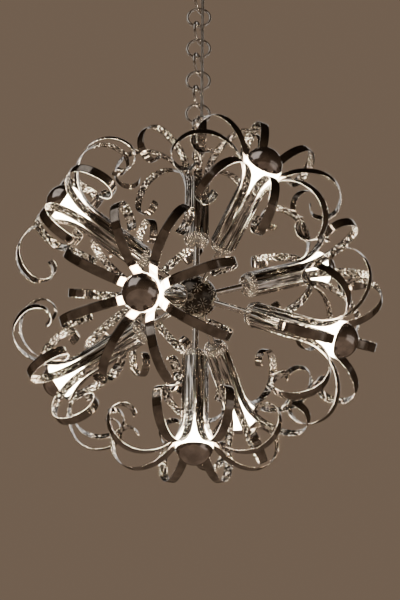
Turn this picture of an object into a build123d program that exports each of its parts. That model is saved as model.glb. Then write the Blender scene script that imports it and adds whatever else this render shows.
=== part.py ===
from build123d import *
import math
import os

# Multi-arm chandelier hanging on a ring chain: a ball hub, nine lamp arms and one decorative
# upper cluster round the stem. Every arm ends in eight curled steel strips round a lamp.
# Frame: millimetres, +Z up, origin at the centre of the ceiling bracket's top face.

# ceiling fitting
BRACKET_LENGTH = 76
BRACKET_WIDTH = 20
BRACKET_FOOT = 18
BRACKET_SHEET = 2
BRACKET_DEPTH = 14
SCREW_SPACING = 58
SCREW_HOLE_RADIUS = 2.25
CANOPY_RADIUS = 55
CANOPY_DEPTH = 54
CANOPY_FLAT = 28
CANOPY_SHEET = 1.2
SHANK_RADIUS = 4
HOOK_RADIUS = 12
HOOK_WIRE = 3
HOOK_CENTRE = -82
HOOK_SWEEP = 290
SHANK_TOP = -4.5
CANOPY_RIM = -1
CANOPY_SHOULDER = -8
CANOPY_NUT_RADIUS = 8
CANOPY_NUT_HEIGHT = 6
BUSH_RADIUS = 4.4
BUSH_FLANGE = 6
BUSH_FLANGE_HEIGHT = 3
BUSH_SLEEVE_HEIGHT = 8
BLOCK = (26, 17.5, 14)
BLOCK_NEAR_SIDE = -9.4
BLOCK_CHAMFER = 1.5

# ring chain
LINK_COUNT = 10
LINK_WIRE = 2.3
LINK_RADIUS = 21.2
CHAIN_GAP = 0.3
CHAIN_TURN = -25.5
LINK_TWIST = 68

# hub and arms
HUB_RADIUS = 35
HUB_WALL = 2
TUBE_RADIUS = 5
TUBE_BORE = 4
TUBE_START = 26
ARM_END = 172
BORE_CLEARANCE = 0.1
RING_ELEVATION = 26
UPPER_ROLL = -9
LOWER_ROLLS = (22, 20, 28, 10)
TOP_ROLL = 22.5
BOTTOM_ROLL = 4
ARMS_PER_RING = 4

# loop nut on the stem, measured from the hub's centre
LOOP_RADIUS = 8
LOOP_WIRE = 3.2
LOOP_HEIGHT = 319
STEM_END = 300
NECK_START = 296
NECK_RADIUS = 6.5
INLET_BASE = 282
INLET_TOP = 293
INLET_RADIUS = 9
INLET_BOSS = 4.8
INLET_FLOOR = 2
LOOP_SCREW_HEIGHT = 298
LOOP_SCREW_RADIUS = 1.5
LOOP_SCREW_LENGTH = 19
LOOP_SCREW_HEAD_RADIUS = 2.6
LOOP_SCREW_HEAD_START = 22
LOOP_SCREW_HEAD_LENGTH = 4

# supply lead
LEAD_RADIUS = 2.5
LEAD_OFFSET = 10
LEAD_ENTRY_OFFSET = 22
LEAD_TURN = CHAIN_TURN - 45
LEAD_UPPER_DROP = 28
LEAD_LOWER_DROP = 82

# curled strips, measured along the arm from the hub's centre
STRIPS = 8
STRIP_WIDTH = 15
STRIP_SHEET = 1
STRIP_RADIUS = 20
STRIP_BASE = 115
FLARE_START = 218
CURL = ((75, 90), (50, 90), (26, 90), (18, 88))
STRIP_CORNER = 3

# cap and carrier that clamp the strips on the arm
CAP_START = 101
CAP_RIM = 21
CAP_SHEET = 1.2
CARRIER_APOTHEM = 19.4
CARRIER_HEIGHT = 11
CARRIER_SHEET = 2

# lamp and lampholder
BULB_RADIUS = 30
BULB_CENTRE = 270
BULB_WALL = 1
BULB_NECK = 13.8
LAMP_CAP_END = 195
LAMP_CAP_TOP = 221
LAMP_CAP_RADIUS = 13.2
HOLDER_RADIUS = 18
HOLDER_START = 160
HOLDER_END = 219.5
HOLDER_BORE = 13.8
HOLDER_FLOOR = 190

# nuts and wiring
NUT_FLATS = 14
NUT_HEIGHT = 4
HOOK_NUT_FLATS = 13
HOOK_NUT_HEIGHT = 6.5
JUNCTION_RADIUS = 8
JUNCTION_HEIGHT = 14
JUNCTION_ROUNDING = 2
WIRE_RADIUS = 1.6
WIRE_START = 11
WIRE_END = 180

LINK_PITCH = 2 * LINK_RADIUS - 2 * LINK_WIRE - CHAIN_GAP
HOOK_BOTTOM = HOOK_CENTRE - HOOK_RADIUS
FIRST_LINK = HOOK_BOTTOM + HOOK_WIRE + LINK_WIRE + CHAIN_GAP - LINK_RADIUS
LAST_LINK = FIRST_LINK - (LINK_COUNT - 1) * LINK_PITCH
LOOP_CENTRE = LAST_LINK - LINK_RADIUS + LINK_WIRE + LOOP_WIRE + CHAIN_GAP - LOOP_RADIUS
HUB_Z = LOOP_CENTRE - LOOP_HEIGHT
HUB = Vector(0, 0, HUB_Z)
LEAD_BORE = LEAD_RADIUS + BORE_CLEARANCE

nodes = {}


def add(name, *solids):
    nodes[name] = solids[0] if len(solids) == 1 else Compound(children=list(solids))


def direction(elevation, azimuth):
    """Unit vector; azimuth runs from -Y towards +X, elevation up from level."""
    e = math.radians(elevation)
    a = math.radians(azimuth)
    return Vector(math.cos(e) * math.sin(a), -math.cos(e) * math.cos(a), math.sin(e))


def level(angle):
    """Level unit vector at an angle from +X towards +Y."""
    return Vector(math.cos(math.radians(angle)), math.sin(math.radians(angle)), 0)


def ring_of_arms(elevation, first_azimuth):
    step = 360 / ARMS_PER_RING
    azimuths = [first_azimuth + step * k for k in range(ARMS_PER_RING)]
    return [(direction(elevation, a), direction(elevation + 90, a)) for a in azimuths]


UPPER = ring_of_arms(RING_ELEVATION, 0)
LOWER = ring_of_arms(-RING_ELEVATION, 45)
TOP = [(Vector(0, 0, 1), direction(0, 0))]
BOTTOM = [(Vector(0, 0, -1), direction(0, 0))]
LAMP_ARMS = UPPER + LOWER + BOTTOM


def on_arm(arm):
    """Location whose Z runs out along the arm from the hub's centre."""
    axis, up = arm
    return Plane(origin=HUB, x_dir=up, z_dir=axis).location


def tube(outer, inner, start, end):
    ring = Circle(outer) - Circle(inner)
    return Pos(0, 0, start) * extrude(ring, amount=end - start)


def hexagon_nut(flats, bore, start, height):
    section = RegularPolygon(flats / 2, 6, major_radius=False) - Circle(bore)
    return Pos(0, 0, start) * extrude(section, amount=height)


def turned(*points):
    """Solid of revolution about Z from (radius, height) corners."""
    outline = Polyline(*[(r, 0, z) for r, z in points], close=True)
    return revolve(make_face(outline), axis=Axis.Z)


def wire_ring(radius, wire, start_angle, sweep_angle, turn, height):
    """Round wire bent to a ring that stands upright in the plane at the given turn."""
    plane = Plane(origin=(0, 0, height), x_dir=level(turn), z_dir=level(turn - 90))
    path = plane.location * CenterArc((0, 0), radius, start_angle, sweep_angle)
    section = Plane(origin=path @ 0, z_dir=path % 0) * Circle(wire)
    return sweep(section, path=path)


# ---------------------------------------------------------------- ceiling fitting


def ceiling_bracket():
    half = BRACKET_LENGTH / 2
    knee = half - BRACKET_FOOT
    s = BRACKET_SHEET
    d = BRACKET_DEPTH
    under = [(half, 0), (half, -s), (knee, -s), (knee, -d), (-knee, -d), (-knee, -s), (-half, -s)]
    over = [(-half, 0), (s - knee, 0), (s - knee, s - d), (knee - s, s - d), (knee - s, 0)]
    outline = under + over
    face = make_face(Polyline(*[(x, 0, z) for x, z in outline], close=True))
    strap = extrude(face, amount=BRACKET_WIDTH / 2, both=True)
    for x in (-SCREW_SPACING / 2, SCREW_SPACING / 2):
        strap -= Pos(x, 0, 0) * Cylinder(SCREW_HOLE_RADIUS, 3 * BRACKET_SHEET)
    strap -= Pos(0, 0, -BRACKET_DEPTH) * Cylinder(SHANK_RADIUS + BORE_CLEARANCE, 3 * BRACKET_SHEET)
    return strap


def canopy_cup():
    rim = CANOPY_RIM
    shoulder = CANOPY_SHOULDER
    outer = CANOPY_RADIUS
    inner = CANOPY_RADIUS - CANOPY_SHEET
    floor = -CANOPY_DEPTH
    hole = SHANK_RADIUS + BORE_CLEARANCE
    edges = [
        Line((outer, 0, rim), (outer, 0, shoulder)),
        TangentArc((outer, 0, shoulder), (CANOPY_FLAT, 0, floor), tangent=(0, 0, -1)),
        Line((CANOPY_FLAT, 0, floor), (hole, 0, floor)),
        Line((hole, 0, floor), (hole, 0, floor + CANOPY_SHEET)),
        Line((hole, 0, floor + CANOPY_SHEET), (CANOPY_FLAT, 0, floor + CANOPY_SHEET)),
        TangentArc((inner, 0, shoulder), (CANOPY_FLAT, 0, floor + CANOPY_SHEET), tangent=(0, 0, -1)),
        Line((inner, 0, shoulder), (inner, 0, rim)),
        Line((inner, 0, rim), (outer, 0, rim)),
    ]
    cup = revolve(make_face(edges), axis=Axis.Z)
    entry = level(LEAD_TURN) * LEAD_ENTRY_OFFSET
    return cup - Pos(entry.X, entry.Y, floor) * Cylinder(BUSH_RADIUS, 5 * CANOPY_SHEET)


lead_entry = level(LEAD_TURN) * LEAD_ENTRY_OFFSET
lead_line = level(LEAD_TURN) * LEAD_OFFSET

add("ceiling_bracket", ceiling_bracket())
add(
    "hook_nuts",
    hexagon_nut(HOOK_NUT_FLATS, SHANK_RADIUS, BRACKET_SHEET - BRACKET_DEPTH, HOOK_NUT_HEIGHT),
    hexagon_nut(HOOK_NUT_FLATS, SHANK_RADIUS, -BRACKET_DEPTH - HOOK_NUT_HEIGHT, HOOK_NUT_HEIGHT),
)
hook_bend = wire_ring(HOOK_RADIUS, HOOK_WIRE, 90, -HOOK_SWEEP, CHAIN_TURN + LINK_TWIST, HOOK_CENTRE)
shank_end = HOOK_CENTRE + HOOK_RADIUS - HOOK_WIRE
shank = Pos(0, 0, shank_end) * extrude(Circle(SHANK_RADIUS), amount=SHANK_TOP - shank_end)
add("ceiling_hook", hook_bend + shank)
add("canopy_cup", canopy_cup())
canopy_nut = tube(CANOPY_NUT_RADIUS, SHANK_RADIUS, -CANOPY_DEPTH - CANOPY_NUT_HEIGHT, -CANOPY_DEPTH)
add("canopy_nut", canopy_nut)
add(
    "canopy_bush",
    Pos(lead_entry.X, lead_entry.Y, 0)
    * turned(
        (LEAD_BORE, -CANOPY_DEPTH - BUSH_FLANGE_HEIGHT),
        (BUSH_FLANGE, -CANOPY_DEPTH - BUSH_FLANGE_HEIGHT),
        (BUSH_FLANGE, -CANOPY_DEPTH),
        (BUSH_RADIUS, -CANOPY_DEPTH),
        (BUSH_RADIUS, -CANOPY_DEPTH + BUSH_SLEEVE_HEIGHT),
        (LEAD_BORE, -CANOPY_DEPTH + BUSH_SLEEVE_HEIGHT),
    ),
)
block_centre = (lead_entry.X, BLOCK_NEAR_SIDE - BLOCK[1] / 2, -BRACKET_DEPTH - BLOCK[2] / 2)
terminal_block = Pos(*block_centre) * Box(*BLOCK)
add("terminal_block", chamfer(terminal_block.edges().group_by(Axis.Z)[0], BLOCK_CHAMFER))

# ---------------------------------------------------------------- chain and loop


def link_turn(index):
    return CHAIN_TURN + (LINK_TWIST if index % 2 else 0)


for link in range(LINK_COUNT):
    ring = Torus(LINK_RADIUS, LINK_WIRE)
    plane = Plane(
        origin=(0, 0, FIRST_LINK - link * LINK_PITCH),
        x_dir=level(link_turn(link)),
        z_dir=level(link_turn(link) - 90),
    )
    add(f"chain_link_{link + 1:02d}", plane.location * ring)

loop_plane = Plane(origin=(0, 0, LOOP_CENTRE), x_dir=level(CHAIN_TURN), z_dir=level(CHAIN_TURN - 90))
neck_top = LOOP_HEIGHT - LOOP_RADIUS
neck = tube(NECK_RADIUS, TUBE_RADIUS, NECK_START, STEM_END)
neck += Pos(0, 0, STEM_END) * extrude(Circle(NECK_RADIUS), amount=neck_top - STEM_END)
pin_start = (0, 0, HUB_Z + LOOP_SCREW_HEIGHT)
pin_location = Plane(origin=pin_start, x_dir=(0, 0, 1), z_dir=level(CHAIN_TURN)).location
screw_hole = pin_location * (Pos(0, 0, TUBE_RADIUS) * extrude(Circle(LOOP_SCREW_RADIUS), amount=TUBE_RADIUS))
add("stem_loop", loop_plane.location * Torus(LOOP_RADIUS, LOOP_WIRE) + Pos(HUB) * neck - screw_hole)
screw_shank = Pos(0, 0, TUBE_RADIUS) * extrude(Circle(LOOP_SCREW_RADIUS), amount=LOOP_SCREW_LENGTH)
screw_head = extrude(Circle(LOOP_SCREW_HEAD_RADIUS), amount=LOOP_SCREW_HEAD_LENGTH)
screw_head = Pos(0, 0, LOOP_SCREW_HEAD_START) * screw_head
add("loop_screw", pin_location * (screw_shank + screw_head))


def inlet_collar():
    """Collar clamped on the stem with a boss at its side that takes the supply lead."""
    boss = Pos(lead_line.X, lead_line.Y, 0) * Circle(INLET_BOSS)
    body = extrude(Circle(INLET_RADIUS) + boss, amount=INLET_TOP - INLET_BASE)
    body -= extrude(Circle(TUBE_RADIUS), amount=INLET_TOP - INLET_BASE)
    socket = Pos(lead_line.X, lead_line.Y, INLET_FLOOR) * extrude(Circle(LEAD_RADIUS), amount=INLET_TOP)
    return Pos(0, 0, HUB_Z + INLET_BASE) * (body - socket)


add("inlet_collar", inlet_collar())

# ---------------------------------------------------------------- supply lead

lead_bottom = HUB_Z + INLET_BASE + INLET_FLOOR
LEAD_ROUTE = (
    (lead_entry.X, lead_entry.Y, -BRACKET_DEPTH - BLOCK[2]),
    (lead_entry.X, lead_entry.Y, -CANOPY_DEPTH - LEAD_UPPER_DROP),
    (lead_line.X, lead_line.Y, -CANOPY_DEPTH - LEAD_LOWER_DROP),
    (lead_line.X, lead_line.Y, lead_bottom),
)


def lead_radii(route):
    """Bend radius at each corner: as large as the shorter of its two runs allows."""
    points = [Vector(*p) for p in route]
    radii = []
    for before, corner, after in zip(points, points[1:], points[2:]):
        turn = (corner - before).get_angle(after - corner)
        run = min((corner - before).length, (after - corner).length)
        radii.append(0.45 * run / math.tan(math.radians(turn / 2)))
    return radii


print("lead bend radii:", [round(r) for r in lead_radii(LEAD_ROUTE)])
lead_path = FilletPolyline(*LEAD_ROUTE, radius=lead_radii(LEAD_ROUTE))
lead_section = Plane(origin=lead_path @ 0, z_dir=lead_path % 0) * Circle(LEAD_RADIUS)
supply_lead = sweep(lead_section, path=lead_path)
lead_volume = math.pi * LEAD_RADIUS**2 * lead_path.length
print("lead length:", round(lead_path.length), "volume ratio:", round(supply_lead.volume / lead_volume, 4))
add("supply_lead", supply_lead)

# ---------------------------------------------------------------- hub

shell = Sphere(HUB_RADIUS) - Sphere(HUB_RADIUS - HUB_WALL)
for arm in UPPER + LOWER + TOP + BOTTOM:
    axis, up = arm
    at_wall = Plane(origin=axis * HUB_RADIUS, x_dir=up, z_dir=axis).location
    shell -= at_wall * Cylinder(TUBE_RADIUS + BORE_CLEARANCE, 6 * HUB_WALL)
half_space = Box(3 * HUB_RADIUS, 3 * HUB_RADIUS, 3 * HUB_RADIUS)
offset = 1.5 * HUB_RADIUS
add("hub_upper_shell", Pos(HUB) * (shell & Pos(0, 0, offset) * half_space))
add("hub_lower_shell", Pos(HUB) * (shell & Pos(0, 0, -offset) * half_space))
junction = Cylinder(JUNCTION_RADIUS, JUNCTION_HEIGHT)
add("wire_junction", Pos(HUB) * fillet(junction.edges(), JUNCTION_ROUNDING))

stem = Pos(HUB) * tube(TUBE_RADIUS, TUBE_BORE, TUBE_START, STEM_END)
add("stem_tube", stem)
lamp_arm = tube(TUBE_RADIUS, TUBE_BORE, TUBE_START, ARM_END)
add("lamp_arms", *[on_arm(arm) * lamp_arm for arm in LAMP_ARMS])

# nuts on the arm threads: one inside the hub wall and one inside each strip carrier
hub_nut = hexagon_nut(NUT_FLATS, TUBE_RADIUS, TUBE_START + 1, NUT_HEIGHT)
carrier_nut = hexagon_nut(NUT_FLATS, TUBE_RADIUS, STRIP_BASE + CARRIER_SHEET, NUT_HEIGHT)
ALL_ARMS = LAMP_ARMS + TOP
add("arm_nuts", *[on_arm(arm) * nut for arm in ALL_ARMS for nut in (hub_nut, carrier_nut)])

# twin wires from the junction through each arm's bore to its lampholder
wire = Pos(0, 0, WIRE_START) * extrude(Circle(WIRE_RADIUS), amount=WIRE_END - WIRE_START)
add("arm_wires", *[on_arm(arm) * wire for arm in LAMP_ARMS])

# ---------------------------------------------------------------- curled strips


def strip_side(side):
    """One face of the strip's edge profile, as lines and tangent arcs in (radius, height)."""
    shift = side * STRIP_SHEET / 2
    x, y, heading = STRIP_RADIUS, FLARE_START, 90
    edges = [Line((x - shift, STRIP_BASE), (x - shift, y))]
    for radius, turn in CURL:
        angle = math.radians(heading)
        centre = (x + radius * math.sin(angle), y - radius * math.cos(angle))
        edges.append(CenterArc(centre, radius + shift, heading + 90, -turn))
        heading -= turn
        end = math.radians(heading + 90)
        x = centre[0] + radius * math.cos(end)
        y = centre[1] + radius * math.sin(end)
    return edges


def curled_strip():
    lamp_side = strip_side(1)
    outer_side = strip_side(-1)
    base = Line(lamp_side[0] @ 0, outer_side[0] @ 0)
    tip = Line(lamp_side[-1] @ 1, outer_side[-1] @ 1)
    profile = make_face([*lamp_side, *outer_side, base, tip])
    strip = extrude(profile, amount=STRIP_WIDTH / 2, both=True)
    middle = tip @ 0.5
    level_with_tip = [Vector(middle.X, middle.Y, z) for z in (-STRIP_WIDTH / 2, STRIP_WIDTH / 2)]
    corners = [e for e in strip.edges() if any((e.center() - p).length < 0.01 for p in level_with_tip)]
    return fillet(corners, STRIP_CORNER)


strip = curled_strip()
strip_length = FLARE_START - STRIP_BASE + sum(r * math.radians(a) for r, a in CURL)
print("strip developed length:", round(strip_length))


def flower(arm, roll):
    """Eight strips standing round the arm, the first turned by roll from the arm's up side."""
    axis, up = arm
    across = axis.cross(up)
    placed = []
    for k in range(STRIPS):
        angle = math.radians(roll + 360 / STRIPS * k)
        radial = up * math.cos(angle) + across * math.sin(angle)
        plane = Plane(origin=HUB, x_dir=radial, z_dir=radial.cross(axis))
        placed.append(plane.location * strip)
    return placed


for k, arm in enumerate(UPPER):
    add(f"strips_upper_{k + 1}", *flower(arm, UPPER_ROLL))
for k, (arm, roll) in enumerate(zip(LOWER, LOWER_ROLLS)):
    add(f"strips_lower_{k + 1}", *flower(arm, roll))
add("strips_top", *flower(TOP[0], TOP_ROLL))
add("strips_bottom", *flower(BOTTOM[0], BOTTOM_ROLL))
ROLLS = [UPPER_ROLL] * ARMS_PER_RING + [*LOWER_ROLLS, BOTTOM_ROLL, TOP_ROLL]

# ---------------------------------------------------------------- cap and carrier


def base_cap():
    """Domed cap under the strips' feet, open towards the lamp."""
    neck_radius = TUBE_RADIUS + BORE_CLEARANCE
    s = CAP_SHEET
    rim_height = STRIP_BASE
    edges = [
        Line((neck_radius, 0, CAP_START), (9, 0, CAP_START)),
        ThreePointArc((9, 0, CAP_START), (17, 0, CAP_START + 5), (CAP_RIM, 0, rim_height)),
        Line((CAP_RIM, 0, rim_height), (CAP_RIM - s, 0, rim_height)),
        ThreePointArc((CAP_RIM - s, 0, rim_height), (16.2, 0, CAP_START + 5.9), (9, 0, CAP_START + s)),
        Line((9, 0, CAP_START + s), (neck_radius, 0, CAP_START + s)),
        Line((neck_radius, 0, CAP_START + s), (neck_radius, 0, CAP_START)),
    ]
    return revolve(make_face(edges), axis=Axis.Z)


def strip_carrier(roll):
    """Eight-sided cup inside the strips' feet; the strips are spot-welded to its flats."""
    s = CARRIER_SHEET
    outer = RegularPolygon(CARRIER_APOTHEM, STRIPS, major_radius=False, rotation=180 / STRIPS)
    cup = extrude(outer, amount=CARRIER_HEIGHT)
    cup -= Pos(0, 0, s) * extrude(Circle(CARRIER_APOTHEM - 1.5), amount=CARRIER_HEIGHT)
    cup -= extrude(Circle(TUBE_RADIUS + BORE_CLEARANCE), amount=CARRIER_HEIGHT)
    return Pos(0, 0, STRIP_BASE) * (Rot(0, 0, roll) * cup)


add("base_caps", *[on_arm(arm) * base_cap() for arm in ALL_ARMS])
add("strip_carriers", *[on_arm(arm) * strip_carrier(roll) for arm, roll in zip(ALL_ARMS, ROLLS)])

# ---------------------------------------------------------------- lampholders and lamps


def lampholder():
    wall = 2.4
    plate = 3
    arm_hole = TUBE_RADIUS
    return turned(
        (arm_hole, HOLDER_START),
        (HOLDER_RADIUS, HOLDER_START),
        (HOLDER_RADIUS, HOLDER_END),
        (HOLDER_BORE, HOLDER_END),
        (HOLDER_BORE, HOLDER_FLOOR + plate),
        (2, HOLDER_FLOOR + plate),
        (2, HOLDER_FLOOR),
        (HOLDER_RADIUS - wall, HOLDER_FLOOR),
        (HOLDER_RADIUS - wall, HOLDER_START + plate),
        (arm_hole, HOLDER_START + plate),
    )


def bulb_side(shrink):
    """Edge profile of the bulb, drawn in by shrink: tip arc, shoulder line, neck line."""
    ball = BULB_RADIUS - shrink
    neck = BULB_NECK - shrink
    shoulder = math.radians(-30)
    belt = (ball * math.cos(shoulder), 0, BULB_CENTRE + ball * math.sin(shoulder))
    middle = math.radians(30)
    crown = (ball * math.cos(middle), 0, BULB_CENTRE + ball * math.sin(middle))
    return [
        ThreePointArc((0, 0, BULB_CENTRE + ball), crown, belt),
        Line(belt, (neck, 0, LAMP_CAP_TOP + 6)),
        Line((neck, 0, LAMP_CAP_TOP + 6), (neck, 0, LAMP_CAP_TOP)),
    ]


def bulb():
    outer = bulb_side(0)
    inner = bulb_side(BULB_WALL)
    tip = Line(outer[0] @ 0, inner[0] @ 0)
    mouth = Line(outer[-1] @ 1, inner[-1] @ 1)
    return revolve(make_face([*outer, *inner, tip, mouth]), axis=Axis.Z)


def lamp_cap():
    """Screw cap: a threaded shell, an insulating cone and the end contact."""
    r = LAMP_CAP_RADIUS
    thread_root = r - 0.8
    turns = 4
    pitch = 3.6
    top = LAMP_CAP_TOP
    outer = [(r, top), (r, top - 3)]
    for k in range(turns):
        z = top - 3 - pitch * k
        outer += [(thread_root, z - pitch * 0.5), (r, z - pitch)]
    end = outer[-1][1]
    contact = LAMP_CAP_END
    outer += [(r - 1.5, end - 1), (5.5, contact + 1.5), (4.8, contact), (0, contact)]
    inner = [(0, contact + 2.2), (4.2, contact + 2.2), (thread_root - 1.6, end + 0.5), (thread_root - 1, top)]
    return turned(*outer, *inner)


holder = lampholder()
add("lampholders", *[on_arm(arm) * holder for arm in LAMP_ARMS])

LAMP_NAMES = [f"upper_{k + 1}" for k in range(ARMS_PER_RING)]
LAMP_NAMES += [f"lower_{k + 1}" for k in range(ARMS_PER_RING)]
LAMP_NAMES += ["bottom"]
glass = bulb()
screw_cap = lamp_cap()
for name, arm in zip(LAMP_NAMES, LAMP_ARMS):
    add(f"lamp_{name}_bulb", on_arm(arm) * glass)
    add(f"lamp_{name}_cap", on_arm(arm) * screw_cap)

# ---------------------------------------------------------------- output

os.makedirs("parts", exist_ok=True)
for name, shape in nodes.items():
    export_step(shape, f"parts/{name}.step")
print(len(nodes), "nodes; hub centre at z", round(HUB_Z, 2), "first link at z", round(FIRST_LINK, 2))
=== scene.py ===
import math

import bpy
import numpy as np
from mathutils import Euler, Matrix, Vector, noise


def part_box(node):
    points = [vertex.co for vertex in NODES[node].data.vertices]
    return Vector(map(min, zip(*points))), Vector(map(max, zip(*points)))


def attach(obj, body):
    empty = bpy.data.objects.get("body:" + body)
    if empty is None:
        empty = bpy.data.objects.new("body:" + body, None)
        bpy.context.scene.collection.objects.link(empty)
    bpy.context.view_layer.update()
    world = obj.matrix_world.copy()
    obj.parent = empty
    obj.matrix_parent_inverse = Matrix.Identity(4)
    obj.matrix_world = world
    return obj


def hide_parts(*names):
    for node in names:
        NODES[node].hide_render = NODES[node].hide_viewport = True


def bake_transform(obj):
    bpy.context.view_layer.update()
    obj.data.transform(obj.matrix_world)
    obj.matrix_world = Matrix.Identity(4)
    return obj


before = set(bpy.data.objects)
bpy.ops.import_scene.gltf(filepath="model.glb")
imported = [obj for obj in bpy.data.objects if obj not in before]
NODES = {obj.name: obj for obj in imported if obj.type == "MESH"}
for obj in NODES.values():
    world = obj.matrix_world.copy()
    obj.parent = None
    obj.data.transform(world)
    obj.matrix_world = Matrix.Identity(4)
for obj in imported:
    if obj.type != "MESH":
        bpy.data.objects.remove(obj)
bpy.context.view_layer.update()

# A ball hub on a ring chain, with nine lamp arms and one decorative cluster round the stem. Each
# cluster is eight curled strips, smooth towards the lamp and struck all over on the outside.

MM = 0.001

# ---------------------------------------------------------------- layout, millimetres from the hub

ARMS_PER_RING = 4
RING_ELEVATION = 26
HUB_RADIUS = 35
TUBE_RADIUS = 5
STRIPS = 8
UPPER_ROLL = -9
ROLLS = {"lower_1": 22, "lower_2": 20, "lower_3": 28, "lower_4": 10, "top": 22.5, "bottom": 4}

HUB = Vector((0, 0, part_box("hub_upper_shell")[0].z))


def direction(elevation, azimuth):
    """Unit vector; azimuth runs from -Y towards +X, elevation up from level."""
    e, a = math.radians(elevation), math.radians(azimuth)
    return Vector((math.cos(e) * math.sin(a), -math.cos(e) * math.cos(a), math.sin(e)))


def arm_matrix(axis, up):
    """Matrix whose local Z runs out along the arm from the hub's centre and X is its up side."""
    across = axis.cross(up)
    m = Matrix((up, across, axis)).transposed().to_4x4()
    return Matrix.Translation(HUB) @ m @ Matrix.Scale(MM, 4)


ARMS = {}
for k in range(ARMS_PER_RING):
    azimuth = 360 / ARMS_PER_RING * k
    ARMS[f"upper_{k + 1}"] = (direction(RING_ELEVATION, azimuth), direction(RING_ELEVATION + 90, azimuth))
for k in range(ARMS_PER_RING):
    azimuth = 45 + 360 / ARMS_PER_RING * k
    ARMS[f"lower_{k + 1}"] = (direction(-RING_ELEVATION, azimuth), direction(90 - RING_ELEVATION, azimuth))
ARMS["bottom"] = (Vector((0, 0, -1)), direction(0, 0))
ARMS["top"] = (Vector((0, 0, 1)), direction(0, 0))
LAMP_ARMS = [name for name in ARMS if name != "top"]

# ---------------------------------------------------------------- materials

FINE_RELIEF = 0.0002
HAMMER_RELIEF = 0.0016
FLUTE_SIZE = (60, 4.2)
PEBBLE_SIZE = (5.0, 4.2)
FLUTES_FADE, PEBBLES_FULL = 25, 30
RIBBON_MAP = "ribbon"
RIBBON_UNIT = 400
STRIP_BASE = 115
FLARE_START = 218
LAMP_GLOW = 34.0
FILAMENT_GLOW = 60.0


def new_material(name):
    material = bpy.data.materials.new(name)
    material.use_nodes = True
    tree = material.node_tree
    return material, tree, tree.nodes["Principled BSDF"]


def texture_coordinates(tree):
    return tree.nodes.new("ShaderNodeTexCoord").outputs["Object"]


def noise_texture(tree, scale, detail=3.0, roughness=0.5):
    node = tree.nodes.new("ShaderNodeTexNoise")
    node.inputs["Scale"].default_value = scale
    node.inputs["Detail"].default_value = detail
    node.inputs["Roughness"].default_value = roughness
    tree.links.new(texture_coordinates(tree), node.inputs["Vector"])
    return node.outputs["Fac"]


def ramp(tree, source, stops):
    node = tree.nodes.new("ShaderNodeValToRGB")
    elements = node.color_ramp.elements
    while len(elements) < len(stops):
        elements.new(0.5)
    for element, (position, color) in zip(elements, stops):
        element.position = position
        element.color = (*color, 1)
    tree.links.new(source, node.inputs["Fac"])
    return node.outputs["Color"]


def spread(tree, source, low, high):
    node = tree.nodes.new("ShaderNodeMapRange")
    node.inputs["From Min"].default_value = 0.3
    node.inputs["From Max"].default_value = 0.7
    node.inputs["To Min"].default_value = low
    node.inputs["To Max"].default_value = high
    tree.links.new(source, node.inputs["Value"])
    return node.outputs["Result"]


def bump(tree, shader, height, strength, distance=FINE_RELIEF):
    node = tree.nodes.new("ShaderNodeBump")
    node.inputs["Strength"].default_value = strength
    node.inputs["Distance"].default_value = distance
    tree.links.new(height, node.inputs["Height"])
    tree.links.new(node.outputs["Normal"], shader.inputs["Normal"])


def metal(name, dark, light, roughness, scale, bump_scale, bump_strength, bump_distance=FINE_RELIEF):
    """Metal with a faint cloudy colour, uneven polish and fine relief."""
    material, tree, shader = new_material(name)
    shader.inputs["Metallic"].default_value = 1
    cloud = noise_texture(tree, scale, 4)
    tree.links.new(ramp(tree, cloud, [(0.35, dark), (0.65, light)]), shader.inputs["Base Color"])
    smear = noise_texture(tree, scale * 3.1, 5, 0.6)
    tree.links.new(spread(tree, smear, *roughness), shader.inputs["Roughness"])
    grain = noise_texture(tree, bump_scale, 4, 0.6)
    bump(tree, shader, grain, bump_strength, bump_distance)
    return material


def solid(name, dark, light, roughness, scale, bump_scale, bump_strength,
          coat=0.0, transmission=0.0, ior=1.5):
    """Plastic, porcelain or clear glass."""
    material, tree, shader = new_material(name)
    shader.inputs["Coat Weight"].default_value = coat
    shader.inputs["Transmission Weight"].default_value = transmission
    shader.inputs["IOR"].default_value = ior
    cloud = noise_texture(tree, scale, 4)
    tree.links.new(ramp(tree, cloud, [(0.35, dark), (0.65, light)]), shader.inputs["Base Color"])
    smear = noise_texture(tree, scale * 2.3, 4, 0.6)
    tree.links.new(spread(tree, smear, *roughness), shader.inputs["Roughness"])
    grain = noise_texture(tree, bump_scale, 3, 0.6)
    bump(tree, shader, grain, bump_strength)
    return material


def ribbon_coordinates(tree, along=1, across=1):
    """The ribbon's own run and width, in millimetres, divided by a feature's size."""
    uv = tree.nodes.new("ShaderNodeUVMap")
    uv.uv_map = RIBBON_MAP
    mapping = tree.nodes.new("ShaderNodeMapping")
    mapping.inputs["Scale"].default_value = (RIBBON_UNIT / along, RIBBON_UNIT / across, 1)
    tree.links.new(uv.outputs["UV"], mapping.inputs["Vector"])
    return mapping.outputs["Vector"]


def ribbon_flutes(tree):
    """Long grooves that follow the strip."""
    node = tree.nodes.new("ShaderNodeTexNoise")
    node.inputs["Scale"].default_value = 1
    node.inputs["Detail"].default_value = 1
    node.inputs["Roughness"].default_value = 0.6
    tree.links.new(ribbon_coordinates(tree, *FLUTE_SIZE), node.inputs["Vector"])
    return node.outputs["Fac"]


def ribbon_pebbles(tree):
    """Rounded dimples, a few across the strip."""
    node = tree.nodes.new("ShaderNodeTexVoronoi")
    node.feature = "SMOOTH_F1"
    node.inputs["Scale"].default_value = 1
    node.inputs["Smoothness"].default_value = 0.25
    tree.links.new(ribbon_coordinates(tree, *PEBBLE_SIZE), node.inputs["Vector"])
    return node.outputs["Distance"]


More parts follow.
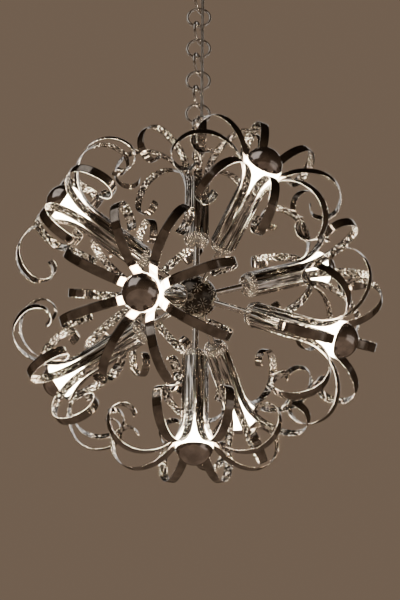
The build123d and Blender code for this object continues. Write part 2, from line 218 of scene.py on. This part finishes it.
def ribbon_curled(tree):
    """0 on the strip's straight run, rising to 1 on its curl."""
    place = tree.nodes.new("ShaderNodeSeparateXYZ")
    tree.links.new(ribbon_coordinates(tree), place.inputs["Vector"])
    node = tree.nodes.new("ShaderNodeMapRange")
    node.inputs["From Min"].default_value = FLARE_START - STRIP_BASE - FLUTES_FADE
    node.inputs["From Max"].default_value = FLARE_START - STRIP_BASE + PEBBLES_FULL
    tree.links.new(place.outputs["X"], node.inputs["Value"])
    return node.outputs["Result"]


def hammered_metal():
    """Chrome struck all over: long flutes where the strips run straight, pebbles on their curls. Its
    colour follows the relief, with painted shade dark in the hollows and pale on the raised parts.
    """
    material, tree, shader = new_material("hammered_chrome")
    shader.inputs["Metallic"].default_value = 1
    relief = tree.nodes.new("ShaderNodeMix")
    tree.links.new(ribbon_curled(tree), relief.inputs["Factor"])
    tree.links.new(ribbon_flutes(tree), relief.inputs["A"])
    tree.links.new(ribbon_pebbles(tree), relief.inputs["B"])
    bump(tree, shader, relief.outputs["Result"], 1.0, HAMMER_RELIEF)
    # painted shade: the base colour goes near-black in the hollows of the relief and pale on the raised
    # parts
    stops = [(0.42, (0.15, 0.135, 0.12)), (0.60, (0.94, 0.93, 0.92))]
    tree.links.new(ramp(tree, relief.outputs["Result"], stops), shader.inputs["Base Color"])
    smear = noise_texture(tree, 300, 4)
    tree.links.new(spread(tree, smear, 0.04, 0.12), shader.inputs["Roughness"])
    return material


def lit_glass():
    """Clear lamp glass that glows from the filament inside."""
    material, tree, shader = new_material("lamp_glass")
    shader.inputs["Transmission Weight"].default_value = 0.85
    shader.inputs["IOR"].default_value = 1.45
    cloud = noise_texture(tree, 40, 3)
    stops = [(0.35, (1.0, 0.93, 0.82)), (0.65, (1.0, 0.97, 0.9))]
    tree.links.new(ramp(tree, cloud, stops), shader.inputs["Base Color"])
    tree.links.new(spread(tree, noise_texture(tree, 90, 3), 0.02, 0.08), shader.inputs["Roughness"])
    glow = ramp(tree, noise_texture(tree, 30, 2), [(0.3, (1.0, 0.80, 0.55)), (0.7, (1.0, 0.88, 0.68))])
    tree.links.new(glow, shader.inputs["Emission Color"])
    shader.inputs["Emission Strength"].default_value = LAMP_GLOW
    return material


def glowing_wire():
    """Tungsten, white hot."""
    material, tree, shader = new_material("filament_wire")
    stops = [(0.3, (0.35, 0.3, 0.25)), (0.7, (0.5, 0.45, 0.4))]
    tree.links.new(ramp(tree, noise_texture(tree, 500, 2), stops), shader.inputs["Base Color"])
    glow = ramp(tree, noise_texture(tree, 200, 2), [(0.3, (1.0, 0.66, 0.32)), (0.7, (1.0, 0.78, 0.46))])
    tree.links.new(glow, shader.inputs["Emission Color"])
    shader.inputs["Emission Strength"].default_value = FILAMENT_GLOW
    return material


polished = metal("polished_chrome", (0.66, 0.63, 0.60), (0.84, 0.82, 0.79),
                 (0.04, 0.12), 60, 900, 0.05)
smooth_strip = metal("smooth_strip_chrome", (0.22, 0.195, 0.175), (0.40, 0.36, 0.33),
                     (0.06, 0.16), 45, 700, 0.06)
hammered = hammered_metal()
dark_chrome = metal("dark_chrome", (0.07, 0.062, 0.055), (0.15, 0.135, 0.12),
                    (0.12, 0.26), 120, 1500, 0.15)
star_metal = metal("star_relief", (0.80, 0.77, 0.73), (0.97, 0.95, 0.92),
                   (0.24, 0.36), 150, 900, 0.1)
ornament = metal("ornament_chrome", (0.72, 0.69, 0.66), (0.95, 0.93, 0.90),
                 (0.05, 0.14), 150, 650, 0.7, 0.0006)
crown_silver = metal("crown_silver", (0.40, 0.355, 0.34), (0.66, 0.60, 0.58),
                     (0.12, 0.20), 50, 600, 0.02)
zinc = metal("zinc_steel", (0.48, 0.49, 0.50), (0.68, 0.69, 0.70),
             (0.25, 0.45), 90, 1200, 0.2)
brass = metal("brass", (0.62, 0.46, 0.22), (0.80, 0.64, 0.34),
              (0.15, 0.35), 110, 1300, 0.12)
cap_metal = metal("aluminium_cap", (0.60, 0.60, 0.60), (0.78, 0.78, 0.77),
                  (0.2, 0.38), 140, 1400, 0.15)
porcelain = solid("porcelain", (0.80, 0.78, 0.73), (0.92, 0.90, 0.86),
                  (0.25, 0.5), 60, 1500, 0.12, coat=0.3)
white_plastic = solid("white_plastic", (0.72, 0.71, 0.68), (0.84, 0.83, 0.80),
                      (0.35, 0.5), 70, 1800, 0.1)
black_plastic = solid("black_plastic", (0.03, 0.03, 0.03), (0.07, 0.07, 0.07),
                      (0.35, 0.55), 70, 1800, 0.15)
clear_cord = solid("clear_cord", (0.34, 0.32, 0.29), (0.56, 0.53, 0.49),
                   (0.12, 0.28), 130, 900, 0.12, 0.3, 0.35)
glass = lit_glass()
stem_glass = solid("stem_glass", (0.85, 0.88, 0.86), (0.95, 0.97, 0.96),
                   (0.02, 0.06), 60, 900, 0.03, transmission=0.95, ior=1.48)
filament_wire = glowing_wire()

CAD_FINISH = {
    "ceiling_bracket": zinc,
    "hook_nuts": zinc,
    "canopy_bush": black_plastic,
    "terminal_block": white_plastic,
    "hub_upper_shell": dark_chrome,
    "hub_lower_shell": dark_chrome,
    "wire_junction": white_plastic,
    "arm_nuts": brass,
    "arm_wires": white_plastic,
    "strip_carriers": zinc,
    "lampholders": porcelain,
}
for name, node in NODES.items():
    finish = CAD_FINISH.get(name, cap_metal if name.endswith("_cap") else polished)
    node.data.materials.clear()
    node.data.materials.append(finish)

# ---------------------------------------------------------------- mesh helpers


class Shape:
    """Collects vertices and faces, with a material number for each face."""

    def __init__(self):
        self.points = []
        self.faces = []
        self.kinds = []
        self.places = []
        self.count = 0

    def add(self, points, faces, kinds=0, places=None):
        points = np.asarray(points, float).reshape(-1, 3)
        faces = np.asarray(faces, int).reshape(-1, 4)
        self.points.append(points)
        self.faces.append(faces + self.count)
        self.kinds.append(np.broadcast_to(kinds, len(faces)))
        if places is not None:
            self.places.append(np.asarray(places, float).reshape(-1, 2))
        self.count += len(points)

    def add_grid(self, rows, kinds=0, close_u=False, places=None):
        """rows is (u, v, 3). Faces join neighbours and wrap round v, and round u where asked."""
        rows = np.asarray(rows, float)
        nu, nv = rows.shape[:2]
        u = np.arange(nu if close_u else nu - 1)
        v = np.arange(nv)
        uu, vv = np.meshgrid(u, v, indexing="ij")
        u1, v1 = (uu + 1) % nu, (vv + 1) % nv
        faces = np.stack([uu * nv + vv, uu * nv + v1, u1 * nv + v1, u1 * nv + vv], -1).reshape(-1, 4)
        self.add(rows.reshape(-1, 3), faces, kinds, places)

    def build(self, name, materials, matrix=None, body=None):
        """Makes the piece, and says which body it rides on and which material slot it has."""
        points = np.concatenate(self.points)
        faces = np.concatenate(self.faces)
        if matrix is not None:
            m = np.array(matrix)
            points = points @ m[:3, :3].T + m[:3, 3]
        mesh = bpy.data.meshes.new(name)
        mesh.from_pydata(points.tolist(), [], faces.tolist())
        for material in materials:
            mesh.materials.append(material)
        mesh.polygons.foreach_set("material_index", np.concatenate(self.kinds).astype(np.int32))
        mesh.polygons.foreach_set("use_smooth", [True] * len(mesh.polygons))
        mesh.validate()
        mesh.update()
        if self.places:
            corners = np.zeros(len(mesh.loops), np.int32)
            mesh.loops.foreach_get("vertex_index", corners)
            layer = mesh.uv_layers.new(name=RIBBON_MAP)
            layer.data.foreach_set("uv", np.concatenate(self.places)[corners].astype(np.float32).ravel())
        piece = bpy.data.objects.new(name, mesh)
        bpy.context.scene.collection.objects.link(piece)
        if body:
            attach(piece, body)
        return piece


def transform(points, matrix):
    m = np.array(matrix)
    points = np.asarray(points, float)
    return points @ m[:3, :3].T + m[:3, 3]


def lathe_rows(profile, segments):
    """(radius, height) corners turned about Z, as (profile, segment, 3)."""
    profile = np.array(profile, float)
    angle = np.linspace(0, 2 * math.pi, segments, endpoint=False)
    c, s = np.cos(angle), np.sin(angle)
    r, h = profile[:, 0:1], profile[:, 1:2]
    return np.stack([r * c, r * s, h + 0 * c], -1)


def tube_rows(path, radius, sides):
    """Round tube round a path of points, as (point, side, 3); radius may vary."""
    path = np.asarray(path, float)
    tangents = np.gradient(path, axis=0)
    tangents /= np.linalg.norm(tangents, axis=1)[:, None]
    side = np.cross(tangents[0], (0.3, 0.9, 0.2))
    radius = np.broadcast_to(radius, len(path))
    rows = []
    angle = np.linspace(0, 2 * math.pi, sides, endpoint=False)
    for point, tangent, r in zip(path, tangents, radius):
        side = side - tangent * (side @ tangent)
        side /= np.linalg.norm(side)
        other = np.cross(tangent, side)
        rows.append(point + r * (np.cos(angle)[:, None] * side + np.sin(angle)[:, None] * other))
    return np.array(rows)


def capped_tube(shape, path, radius, sides=12, kinds=0):
    """Closed tube: the first and last rings draw in to a point."""
    path = np.asarray(path, float)
    first, last = path[0], path[-1]
    body = tube_rows(path, radius, sides)
    start = np.repeat(first[None, None], sides, axis=1)
    end = np.repeat(last[None, None], sides, axis=1)
    shape.add_grid(np.concatenate([start, body, end]), kinds)


# ---------------------------------------------------------------- curled strips

STRIP_WIDTH = 15
STRIP_SHEET = 1
STRIP_RADIUS = 20
CURL = ((75, 90), (50, 90), (26, 90), (18, 88))
STRIP_CORNER = 3
STEP_ALONG = 1.25
COLUMNS = 13
HAMMER_DEPTH = 0.28
PEBBLE_LENGTH, PEBBLE_WIDTH = 5.0, 2.5
BARK_LENGTH, BARK_WIDTH = 11.0, 1.5
PEBBLE_GAIN = 1.5
PEBBLE_SHARE, BARK_SHARE = 0.6, 0.4
PEBBLE_SHIFT, BARK_SHIFT = 17.3, 5.1
PLAIN_END = 0.6
END_DEPTH = 0.1
EDGE_ROUNDING = 0.22
EDGE_SHARE = 0.08
STRIP_SEEDS = 4


def strip_line():
    """Rows of radius, height, heading and running length down the strip's middle."""
    spans = [(None, FLARE_START - STRIP_BASE)] + [(r, r * math.radians(t)) for r, t in CURL]
    x, y, heading, run = STRIP_RADIUS, STRIP_BASE, math.pi / 2, 0.0
    out = [(x, y, heading, run)]
    for radius, length in spans:
        steps = max(6, round(length / STEP_ALONG))
        if radius is None:
            steps //= 2
        for _ in range(steps):
            d = length / steps
            turn = 0 if radius is None else d / radius
            chord = d if radius is None else 2 * radius * math.sin(turn / 2)
            x += chord * math.cos(heading - turn / 2)
            y += chord * math.sin(heading - turn / 2)
            heading -= turn
            run += d
            out.append((x, y, heading, run))
    return np.array(out)


LINE = strip_line()


def hammer_relief(run, across, seed):
    """Depth of the struck outer face at a place on the ribbon, from 0 to 1."""
    cell = Vector((run / PEBBLE_LENGTH, across / PEBBLE_WIDTH, seed * PEBBLE_SHIFT))
    dimple = min(1.0, noise.voronoi(cell)[0][0] * PEBBLE_GAIN)
    streak = Vector((run / BARK_LENGTH, across / BARK_WIDTH, seed * BARK_SHIFT))
    bark = noise.noise(streak) * 0.5 + 0.5
    return PEBBLE_SHARE * (1 - dimple) + BARK_SHARE * bark


def strip_grid(seed):
    """Closed ribbon as (station, column, 3) in local radius, height, width."""
    half = STRIP_WIDTH / 2
    end_run = LINE[-1, 3]
    lamp_face, outer_face = [], []
    v = np.linspace(-1, 1, COLUMNS)
    for x, y, heading, run in LINE:
        left = end_run - run
        w = half
        if left < STRIP_CORNER:
            w = half - STRIP_CORNER + math.sqrt(max(0.0, STRIP_CORNER**2 - (STRIP_CORNER - left) ** 2))
        n = np.array((-math.sin(heading), math.cos(heading)))
        lamp, outer = [], []
        for c in v:
            a = STRIP_SHEET / 2 - EDGE_ROUNDING * max(0.0, abs(c) - 1 + EDGE_SHARE) / EDGE_SHARE
            lamp.append((x + n[0] * a, y + n[1] * a, c * w))
            struck = PLAIN_END < run < end_run - PLAIN_END
            depth = HAMMER_DEPTH * hammer_relief(run, c * half, seed) if struck else END_DEPTH
            b = depth - STRIP_SHEET / 2
            outer.append((x + n[0] * b, y + n[1] * b, c * w))
        lamp_face.append(lamp)
        outer_face.append(outer[::-1])
    rows = np.concatenate([np.array(lamp_face), np.array(outer_face)], axis=1)
    start = np.repeat(rows[:1].mean(axis=1, keepdims=True), rows.shape[1], axis=1)
    end = np.repeat(rows[-1:].mean(axis=1, keepdims=True), rows.shape[1], axis=1)
    return np.concatenate([start, rows, end])


def strip_places(seed):
    """The ribbon's run and width at each grid point, as shares of RIBBON_UNIT."""
    run = np.concatenate([LINE[:1, 3], LINE[:, 3], LINE[-1:, 3]])
    v = np.linspace(-1, 1, COLUMNS) * STRIP_WIDTH / 2
    across = np.concatenate([v, v[::-1] + 2 * STRIP_WIDTH])
    uu, vv = np.meshgrid(run, across, indexing="ij")
    return np.stack([uu / RIBBON_UNIT, (vv + 5 * STRIP_WIDTH * seed) / RIBBON_UNIT], -1)


GRIDS = [strip_grid(seed) for seed in range(STRIP_SEEDS)]


def strip_kinds(rows):
    """Material 0 on the smooth lamp face, 1 on the hammered face and the edges."""
    nu, nv = rows.shape[:2]
    kinds = np.ones((nu - 1, nv), int)
    kinds[:, : COLUMNS - 1] = 0
    return kinds.reshape(-1)


def flower(name, axis, up, roll):
    """One cluster of curled strips round an arm."""
    across = axis.cross(up)
    shape = Shape()
    for k in range(STRIPS):
        angle = math.radians(roll + 360 / STRIPS * k)
        radial = up * math.cos(angle) + across * math.sin(angle)
        width = radial.cross(axis)
        m = np.array((radial, axis, width)).T * MM
        seed = (k * 3 + len(name)) % STRIP_SEEDS
        placed = GRIDS[seed] @ m.T + np.array(HUB)
        shape.add_grid(placed, strip_kinds(placed), places=strip_places(seed))
    finishes = [smooth_strip, hammered]
    piece = shape.build(f"curled_strips_{name}", finishes, None, "chandelier")
    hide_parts(f"strips_{name}")


for name, (axis, up) in ARMS.items():
    flower(name, axis, up, ROLLS.get(name, UPPER_ROLL))

# ---------------------------------------------------------------- lamps

BULB_RADIUS = 30
BULB_CENTRE = 270
BULB_WALL = 1
BULB_NECK = 13.8
LAMP_CAP_TOP = 221
CROWN_EDGE = 4
CROWN_RINGS, BALL_RINGS, NECK_RINGS = 22, 14, 10
NECK_SWELL = 0.12
LAMP_SEGMENTS = 64
PINCH_BASE = LAMP_CAP_TOP - 4
FEED_START, FILAMENT_HEIGHT = 22, 40
FEED_FOOT, FEED_SPREAD, FEED_RADIUS = 1.6, 9.4, 0.35
FILAMENT_REACH, FILAMENT_BOW, FILAMENT_TURNS = 11, 5.0, 22
COIL_RADIUS, COIL_WIRE = 0.6, 0.16


def bulb_profile(shrink):
    """Tip to mouth; the neck runs into the ball along its tangent side."""
    ball, neck = BULB_RADIUS - shrink, BULB_NECK - shrink
    edge = math.asin(CROWN_EDGE / ball)
    angles = list(np.linspace(math.pi / 2, edge, CROWN_RINGS))
    angles += list(np.linspace(edge, math.radians(-30), BALL_RINGS)[1:])
    points = [(ball * math.cos(a), BULB_CENTRE + ball * math.sin(a)) for a in angles]
    points[0] = (0, points[0][1])
    x0, y0 = points[-1]
    for t in np.linspace(0, 1, NECK_RINGS)[1:]:
        ease = t + NECK_SWELL * math.sin(math.pi * t) * (1 - t)
        points.append((x0 + (neck - x0) * ease, y0 + (LAMP_CAP_TOP + 6 - y0) * t))
    points.append((neck, LAMP_CAP_TOP))
    return points


def lamp_envelope(name, matrix):
    """Glass with a wall, its crown silvered on both faces."""
    outer, inner = bulb_profile(0), bulb_profile(BULB_WALL)
    rows = lathe_rows(outer + inner[::-1], LAMP_SEGMENTS)
    kinds = np.zeros((len(rows) - 1, LAMP_SEGMENTS), int)
    kinds[: CROWN_RINGS - 1] = 1
    kinds[1 - CROWN_RINGS :] = 1
    shape = Shape()
    shape.add_grid(rows, kinds.reshape(-1))
    bulb = shape.build(f"lamp_{name}_envelope", [glass, crown_silver], matrix, f"lamp_{name}")
    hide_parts(f"lamp_{name}_bulb")


def lamp_stem(name, matrix):
    """Glass pinch that carries the feed wires."""
    base = PINCH_BASE
    profile = [(0.05, base), (5.5, base), (4.6, base + 6), (3.2, base + 13), (2.4, base + 20),
               (3.1, base + 23), (2.2, base + 25.5), (0.05, base + 26)]
    shape = Shape()
    shape.add_grid(lathe_rows(profile, 24), 0)
    shape.build(f"lamp_{name}_glass_stem", [stem_glass], matrix, f"lamp_{name}")


def lamp_filament(name, matrix):
    """Two feed wires and the bowed coil between them."""
    shape = Shape()
    top = PINCH_BASE + FILAMENT_HEIGHT
    foot = PINCH_BASE + FEED_START
    for side in (-1, 1):
        t = np.linspace(0, 1, 10)
        path = np.stack([side * (FEED_FOOT + FEED_SPREAD * t**1.4), 0 * t, foot + (top - foot) * t], -1)
        capped_tube(shape, path, FEED_RADIUS, 8)
    t = np.linspace(0, 1, FILAMENT_TURNS * 8 + 1)
    turn = 2 * math.pi * FILAMENT_TURNS * t
    bow = FILAMENT_BOW * np.sin(math.pi * t)
    coil = np.stack([
        (2 * t - 1) * FILAMENT_REACH,
        bow + COIL_RADIUS * np.cos(turn),
        top + COIL_RADIUS * np.sin(turn),
    ], -1)
    capped_tube(shape, coil, COIL_WIRE, 6)
    shape.build(f"lamp_{name}_filament", [filament_wire], matrix, f"lamp_{name}")


def lamp(name, axis, up):
    matrix = arm_matrix(axis, up)
    lamp_envelope(name, matrix)
    lamp_stem(name, matrix)
    lamp_filament(name, matrix)


for name in LAMP_ARMS:
    lamp(name, *ARMS[name])

# ---------------------------------------------------------------- base caps

CAP_START = 101
CAP_RIM = 21
CAP_NECK = 6
CAP_PETALS = 16
CAP_SEGMENTS = CAP_PETALS * 10
PETAL_DEPTH = 1.5
PETAL_START = 0.25
RAY_RELIEF, RAY_DROP = 0.9, 0.5
RAY_PLACE, RAY_LENGTH = 0.33, 0.16
CAP_WALL = 2.6
NECK_GAP = 0.15
BEADS = 32
BEAD_RADIUS = 1.25
RIM_WIRE, NECK_WIRE = 0.8, 0.9


def cap_profile(t):
    """Dome from its neck (t 0) to its rim (t 1), as (radius, height)."""
    r = CAP_NECK + (CAP_RIM - CAP_NECK) * math.sin(math.pi / 2 * min(1.0, t * 1.02)) ** 0.9
    h = CAP_START + (STRIP_BASE - CAP_START) * (1 - math.cos(math.pi / 2 * t)) ** 1.15
    return r, h


def base_cap_rows():
    """Petalled dome with a raised ray on each petal, then its plain inside back to the neck."""
    theta = np.linspace(0, 2 * math.pi, CAP_SEGMENTS, endpoint=False)
    outer = []
    for t in np.linspace(0, 1, 26):
        r, h = cap_profile(t)
        wave = np.cos(theta * CAP_PETALS / 2)
        petal = np.abs(wave) ** 0.6
        ray = np.maximum(0, wave) ** 2 * math.exp(-((t - RAY_PLACE) / RAY_LENGTH) ** 2)
        grown = max(0.0, (t - PETAL_START) / (1 - PETAL_START))
        swell = (petal - 1) * PETAL_DEPTH * grown + RAY_RELIEF * ray
        reach = r + swell
        outer.append(np.stack([reach * np.cos(theta), reach * np.sin(theta), h - RAY_DROP * ray], -1))
    rim = [(CAP_RIM - 1.6, STRIP_BASE + 0.2), (CAP_RIM - 2.4, STRIP_BASE - 0.6)]
    inner = [(r - CAP_WALL, h + 1.2) for r, h in (cap_profile(t) for t in np.linspace(0.9, 0.12, 10))]
    bore = TUBE_RADIUS + NECK_GAP
    neck = [(bore, CAP_START + 1.4), (bore, CAP_START), (CAP_NECK, CAP_START)]
    return np.concatenate([np.array(outer), lathe_rows(rim + inner + neck, CAP_SEGMENTS)])


def ball_rows(centre, radius, rings=6, sides=10):
    angles = np.linspace(-math.pi / 2, math.pi / 2, rings + 1)
    profile = [(radius * math.cos(a), radius * math.sin(a)) for a in angles]
    profile[0], profile[-1] = (0, -radius), (0, radius)
    return lathe_rows(profile, sides) + np.asarray(centre, float)


def ring_rows(radius, wire, height, segments=72, sides=10):
    angle = np.linspace(0, 2 * math.pi, sides, endpoint=False)
    profile = [(radius + wire * math.cos(a), height + wire * math.sin(a)) for a in angle]
    return lathe_rows(profile, segments)


def base_cap(shape, matrix):
    """Dome, a row of beads round its rim, and a wire at the rim and at the neck."""
    shape.add_grid(transform(base_cap_rows(), matrix), 0, close_u=True)
    for k in range(BEADS):
        a = 2 * math.pi * k / BEADS
        centre = ((CAP_RIM - 0.2) * math.cos(a), (CAP_RIM - 0.2) * math.sin(a), STRIP_BASE - 1.2)
        shape.add_grid(transform(ball_rows(centre, BEAD_RADIUS), matrix), 0)
    rim_wire = ring_rows(CAP_RIM + 0.4, RIM_WIRE, STRIP_BASE + 0.9)
    shape.add_grid(transform(rim_wire, matrix), 0, close_u=True)
    neck_wire = ring_rows(CAP_NECK + 0.6, NECK_WIRE, CAP_START - 0.3, 40)
    shape.add_grid(transform(neck_wire, matrix), 0, close_u=True)


cap_shape = Shape()
for axis, up in ARMS.values():
    base_cap(cap_shape, arm_matrix(axis, up))
caps = cap_shape.build("filigree_caps", [ornament], None, "chandelier")
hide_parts("base_caps")

# ---------------------------------------------------------------- hub ornaments

STAR_RAYS = 8
ROOT_REACH, FIELD_REACH = 11, 9.4
ROOT_START, FIELD_START = 6.6, 2.2
ROOT_TURN, FIELD_TURN = 0.2, 0.37
ROOT_RING, ROOT_WIRE = 6.0, 0.9
BOSS_RADIUS = 1.2
RAY_WIDTH = 0.6
RAY_HEIGHT = 0.9
RAY_FOOT = 0.3
FIELD_BELTS = ((0, 22.5, 45), (-42, 0, 90), (42, 45, 90), (-62, 45, 90), (62, 0, 90))


def on_sphere(normal, e1, e2, reach, turn, lift):
    """Point at a running distance from a star's centre, over the ball's surface."""
    phi = reach / HUB_RADIUS
    along = e1 * math.cos(turn) + e2 * math.sin(turn)
    return (normal * math.cos(phi) + along * math.sin(phi)) * (HUB_RADIUS + lift)


def star(shape, normal, start, turn0, reach):
    """Rays like drops, laid over the ball round a point; each has a half-round section."""
    e1 = normal.orthogonal().normalized()
    e2 = normal.cross(e1)
    for k in range(STAR_RAYS):
        turn = turn0 + 2 * math.pi * k / STAR_RAYS
        side = e2 * math.cos(turn) - e1 * math.sin(turn)
        rows = []
        for t in np.linspace(0, 1, 9):
            drop = max(0.02, math.sin(math.pi * min(0.999, t**1.7)) ** 0.8)
            at = start + (reach - start) * t
            ring = []
            for a in np.linspace(0, 2 * math.pi, 10, endpoint=False):
                lift = RAY_HEIGHT * drop * math.sin(a) if math.sin(a) > 0 else RAY_FOOT * math.sin(a)
                p = on_sphere(normal, e1, e2, at, turn, lift)
                ring.append(p + side * (RAY_WIDTH * drop * math.cos(a)))
            rows.append(ring)
        rows = np.array(rows)
        ends = [np.repeat(rows[i].mean(axis=0)[None, None], rows.shape[1], axis=1) for i in (0, -1)]
        shape.add_grid(np.concatenate([ends[0], rows, ends[1]]))


star_shape = Shape()
for i, (axis, _) in enumerate(ARMS.values()):
    star(star_shape, axis, ROOT_START, ROOT_TURN * i, ROOT_REACH)
    up = axis.orthogonal().normalized()
    matrix = Matrix((up, axis.cross(up), axis)).transposed().to_4x4()
    root_ring = ring_rows(ROOT_RING, ROOT_WIRE, HUB_RADIUS - 0.1, 36)
    star_shape.add_grid(transform(root_ring, matrix), 0, close_u=True)
fields = []
for elevation, first, spacing in FIELD_BELTS:
    fields += [direction(elevation, first + spacing * k) for k in range(360 // spacing)]
for i, axis in enumerate(fields):
    star(star_shape, axis, FIELD_START, FIELD_TURN * i, FIELD_REACH)
    star_shape.add_grid(ball_rows(axis * (HUB_RADIUS + 0.1), BOSS_RADIUS, 8, 14))
hub_place = Matrix.Translation(HUB) @ Matrix.Scale(MM, 4)
star_shape.build("hub_stars", [star_metal], hub_place, "chandelier")

# ---------------------------------------------------------------- supply lead

LEAD_RADIUS = 2.5
LEAD_TURN = math.radians(-70.5)
ENTRY_OFFSET, LINE_OFFSET = 22, 10
LEAD_HEIGHTS = (
    (ENTRY_OFFSET, -28),
    (ENTRY_OFFSET, -82),
    (LINE_OFFSET, -136),
    (LINE_OFFSET, -190),
    (LINE_OFFSET, -505.5),
)
LEAD_STEP = 3


def lead_line():
    """Points along the lead's own smooth spline, in millimetres."""
    data = bpy.data.curves.new("lead_route", "CURVE")
    data.dimensions = "3D"
    data.resolution_u = 48
    spline = data.splines.new("NURBS")
    spline.points.add(len(LEAD_HEIGHTS) - 1)
    for point, (offset, z) in zip(spline.points, LEAD_HEIGHTS):
        point.co = (offset * math.cos(LEAD_TURN), offset * math.sin(LEAD_TURN), z, 1)
    spline.order_u = 3
    spline.use_endpoint_u = True
    route = bpy.data.objects.new("lead_route", data)
    mesh = bpy.data.meshes.new_from_object(route)
    points = np.array([v.co for v in mesh.vertices], float)
    bpy.data.objects.remove(route)
    bpy.data.meshes.remove(mesh)
    bpy.data.curves.remove(data)
    return points


def at_heights(line, heights):
    """The line's points at the given heights; it always runs downwards."""
    return np.stack([np.interp(-heights, -line[:, 2], line[:, i]) for i in (0, 1)] + [heights], -1)


link_names = sorted(n for n in NODES if n.startswith("chain_link_"))
link_middles = []
for n in link_names:
    low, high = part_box(n)
    link_middles.append((low.z + high.z) / 2 / MM)
chain_bodies = ["ceiling_mount", *link_names, "chandelier"]
lead_points = lead_line()
cuts = [lead_points[0, 2], *link_middles, lead_points[-1, 2]]
for i in range(len(chain_bodies) - 1):
    top, bottom = cuts[i], cuts[i + 1]
    heights = np.linspace(top, bottom, max(12, round((top - bottom) / LEAD_STEP)))
    path = at_heights(lead_points, heights)
    shape = Shape()
    capped_tube(shape, path, LEAD_RADIUS, 16)
    piece = shape.build(f"supply_lead_{i + 1:02d}", [clear_cord], Matrix.Scale(MM, 4), None)
    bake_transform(piece)
    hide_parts("supply_lead")

# ---------------------------------------------------------------- camera, floor and light

VIEW_AZIMUTH = -25.5
VIEW_BELOW = 28.8
VIEW_DISTANCE = 2.266
SENSOR = 36
LENS = 80.88
CAMERA_ROLL = 0.0104
AIM_YAW = -0.003
AIM_PITCH = -0.002

back = direction(-VIEW_BELOW, VIEW_AZIMUTH)
camera_data = bpy.data.cameras.new("camera")
camera_data.sensor_width = SENSOR
camera_data.lens = LENS
camera = bpy.data.objects.new("camera", camera_data)
bpy.context.scene.collection.objects.link(camera)
camera.location = HUB + back * VIEW_DISTANCE
aim = (-back).to_track_quat("-Z", "Y").to_matrix()
aim = aim @ Euler((AIM_PITCH, AIM_YAW, CAMERA_ROLL)).to_matrix()
camera.rotation_mode = "QUATERNION"
camera.rotation_quaternion = aim.to_quaternion()
bpy.context.scene.camera = camera

FLOOR_Z = -2.5
FLOOR_HALF = 9
FLOOR_GLOW = (0.165, 0.120, 0.086)
FLOOR_TINTS = [(0.3, (0.13, 0.115, 0.10)), (0.7, (0.15, 0.135, 0.12))]
corners = [(x * FLOOR_HALF, y * FLOOR_HALF, FLOOR_Z) for x, y in ((-1, -1), (1, -1), (1, 1), (-1, 1))]
floor_mesh = bpy.data.meshes.new("floor")
floor_mesh.from_pydata(corners, [], [(0, 1, 2, 3)])
floor = bpy.data.objects.new("floor", floor_mesh)
bpy.context.scene.collection.objects.link(floor)
floor_material, floor_tree, floor_shader = new_material("floor_paint")
floor_tint = ramp(floor_tree, noise_texture(floor_tree, 2, 3), FLOOR_TINTS)
floor_tree.links.new(floor_tint, floor_shader.inputs["Base Color"])
floor_shader.inputs["Roughness"].default_value = 0.8
floor_shader.inputs["Emission Color"].default_value = (*FLOOR_GLOW, 1)
floor_shader.inputs["Emission Strength"].default_value = 1
floor_mesh.materials.append(floor_material)

BACKDROP = (0.170, 0.122, 0.085)
SURROUND_LOW, SURROUND_HIGH = (0.090, 0.062, 0.041), (0.018, 0.012, 0.008)


def studio_world():
    """A plain backdrop for the camera; what the metal mirrors is a dim room, paler above."""
    world = bpy.data.worlds.new("studio")
    world.use_nodes = True
    tree = world.node_tree
    background = tree.nodes["Background"]
    place = tree.nodes.new("ShaderNodeTexCoord")
    split = tree.nodes.new("ShaderNodeSeparateXYZ")
    tree.links.new(place.outputs["Generated"], split.inputs["Vector"])
    room = ramp(tree, split.outputs["Z"], [(0.0, SURROUND_LOW), (0.9, SURROUND_HIGH)])
    path = tree.nodes.new("ShaderNodeLightPath")
    mix = tree.nodes.new("ShaderNodeMix")
    mix.data_type = "RGBA"
    mix.inputs["B"].default_value = (*BACKDROP, 1)
    tree.links.new(path.outputs["Is Camera Ray"], mix.inputs["Factor"])
    tree.links.new(room, mix.inputs["A"])
    tree.links.new(mix.outputs["Result"], background.inputs["Color"])
    bpy.context.scene.world = world


studio_world()


def area_light(name, place, size, energy, color=(1, 1, 1)):
    """Soft rectangular light aimed at the hub; place is azimuth, elevation and distance."""
    data = bpy.data.lights.new(name, "AREA")
    data.shape = "RECTANGLE"
    data.size, data.size_y = size
    data.energy = energy
    data.color = color
    light = bpy.data.objects.new(name, data)
    bpy.context.scene.collection.objects.link(light)
    azimuth, elevation, distance = place
    away = direction(elevation, azimuth)
    light.location = HUB + away * distance
    light.rotation_mode = "QUATERNION"
    light.rotation_quaternion = away.to_track_quat("Z", "Y")


area_light("key", (-75, 40, 4.2), (3.6, 3.6), 28, (1, 0.95, 0.88))
area_light("fill", (40, -10, 4.0), (4.0, 2.4), 9, (1, 0.93, 0.85))
area_light("rim", (150, 35, 4.0), (3.6, 2.0), 30, (1, 0.96, 0.92))
